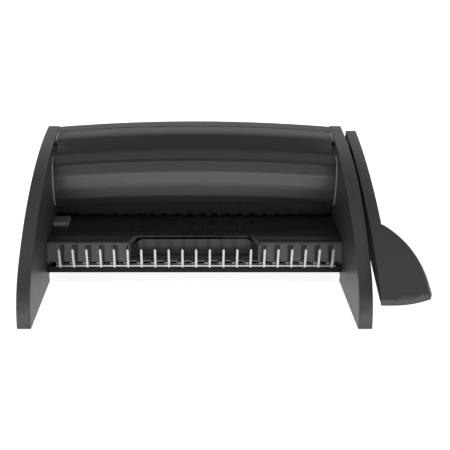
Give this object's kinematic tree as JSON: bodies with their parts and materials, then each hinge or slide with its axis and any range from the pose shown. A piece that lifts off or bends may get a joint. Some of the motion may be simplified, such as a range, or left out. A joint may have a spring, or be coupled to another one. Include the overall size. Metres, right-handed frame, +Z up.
{
  "type": "comb binding machine",
  "caption": "Desktop comb binding machine: dark plastic housing between two curved side panels, lever on the right, paper table, row of steel comb prongs and pull-out chip tray.",
  "frame": {"origin": "bottom centre of the whole machine's box, on the table", "axes": "+X to the lever side (user's right), +Y to the back, +Z up"},
  "size_m": [0.3903, 0.227, 0.1421],
  "materials": {
    "panel_plastic": "fine spark texture, satin",
    "cover_plastic": "smooth satin gloss",
    "deck_plastic": "smooth satin gloss",
    "lever_plastic": "fine spark texture, satin",
    "tray_plastic": "moulded, matt",
    "guide_plastic": "moulded, light grey",
    "label_film": "printed film with plain pictogram panels",
    "bright_steel": "bright zinc plated sheet",
    "black_steel": "black painted sheet",
    "punch_steel": "ground tool steel",
    "gear_steel": "sintered steel, oiled",
    "bush_bronze": "sintered bronze",
    "screw_steel": "black zinc screws",
    "foot_rubber": "moulded rubber"
  },
  "bodies": {
    "frame": {"right_side_panel": "panel_plastic", "left_side_panel": "panel_plastic", "right_side_cap": "panel_plastic", "left_side_cap": "panel_plastic", "cap_screws": "screw_steel", "rubber_feet": "foot_rubber", "front_cover": "cover_plastic", "rear_cover": "panel_plastic", "rear_cover_screws": "screw_steel", "cover_clips": "bright_steel", "deck": "deck_plastic", "deck_label": "label_film", "comb_plate": "bright_steel", "comb_prongs": "bright_steel", "comb_channel": "black_steel", "comb_plate_screws": "bright_steel", "slide_guides": "tray_plastic", "die_plate": "punch_steel", "punch_guide": "punch_steel", "back_stop": "punch_steel", "slot_wall": "deck_plastic", "shaft_bushes": "bush_bronze", "cap_bush": "bush_bronze", "idler_axle": "punch_steel", "base_pan": "black_steel", "base_screws": "screw_steel"},
    "lever_set": {"lever": "lever_plastic", "lever_shaft": "punch_steel", "lever_gear": "gear_steel", "lever_screw": "screw_steel"},
    "punch_shaft_set": {"punch_shaft": "punch_steel", "punch_gear": "gear_steel", "punch_pinions": "gear_steel", "punch_shaft_clip": "bright_steel"},
    "idler": {"idler_gear": "gear_steel"},
    "hook_shaft_set": {"hook_shaft": "punch_steel", "hook_gear": "gear_steel", "hook_pinions": "gear_steel", "hook_shaft_clip": "bright_steel"},
    "punch_head": {"punch_bar": "punch_steel", "punch_pins": "punch_steel", "punch_racks": "gear_steel"},
    "hook_comb": {"hook_slide": "bright_steel", "hook_racks": "gear_steel"},
    "tray": {"chip_tray": "tray_plastic"},
    "guide": {"edge_guide": "guide_plastic", "guide_keeper": "bright_steel"}
  },
  "joints": [
    {"name": "lever_hinge", "type": "hinge", "parent": "frame", "child": "lever_set", "pos_m": [0.15235, 0.0735, 0.116], "axis": [-1, 0, 0], "range_deg": [0, 110]},
    {"name": "punch_shaft_turn", "type": "hinge", "parent": "frame", "child": "punch_shaft_set", "pos_m": [-0.02565, 0.06401, 0.0956], "axis": [-1, 0, 0], "range_deg": [-88.05, 0]},
    {"name": "idler_turn", "type": "hinge", "parent": "frame", "child": "idler", "pos_m": [0.13635, 0.04215, 0.0621], "axis": [-1, 0, 0], "range_deg": [0, 40.05]},
    {"name": "hook_shaft_turn", "type": "hinge", "parent": "frame", "child": "hook_shaft_set", "pos_m": [-0.02565, 0.0125, 0.03525], "axis": [-1, 0, 0], "range_deg": [-88.05, 0]},
    {"name": "punch_lift", "type": "slide", "parent": "frame", "child": "punch_head", "axis": [0, 0, 1], "range_m": [0, 0.01231]},
    {"name": "hook_pull", "type": "slide", "parent": "frame", "child": "hook_comb", "axis": [0, 1, 0], "range_m": [0, 0.01231]},
    {"name": "tray_slide", "type": "slide", "parent": "frame", "child": "tray", "axis": [0, 1, 0], "range_m": [0, 0.07]},
    {"name": "guide_slide", "type": "slide", "parent": "frame", "child": "guide", "axis": [1, 0, 0], "range_m": [0, 0.009]}
  ],
  "couplings": [
    {"joint": "punch_shaft_turn", "follows": "lever_hinge", "ratio": -0.8},
    {"joint": "idler_turn", "follows": "lever_hinge", "ratio": 0.36364},
    {"joint": "hook_shaft_turn", "follows": "lever_hinge", "ratio": -0.8},
    {"joint": "punch_lift", "follows": "lever_hinge", "m_per_rad": 0.0064},
    {"joint": "hook_pull", "follows": "lever_hinge", "m_per_rad": 0.0064}
  ]
}
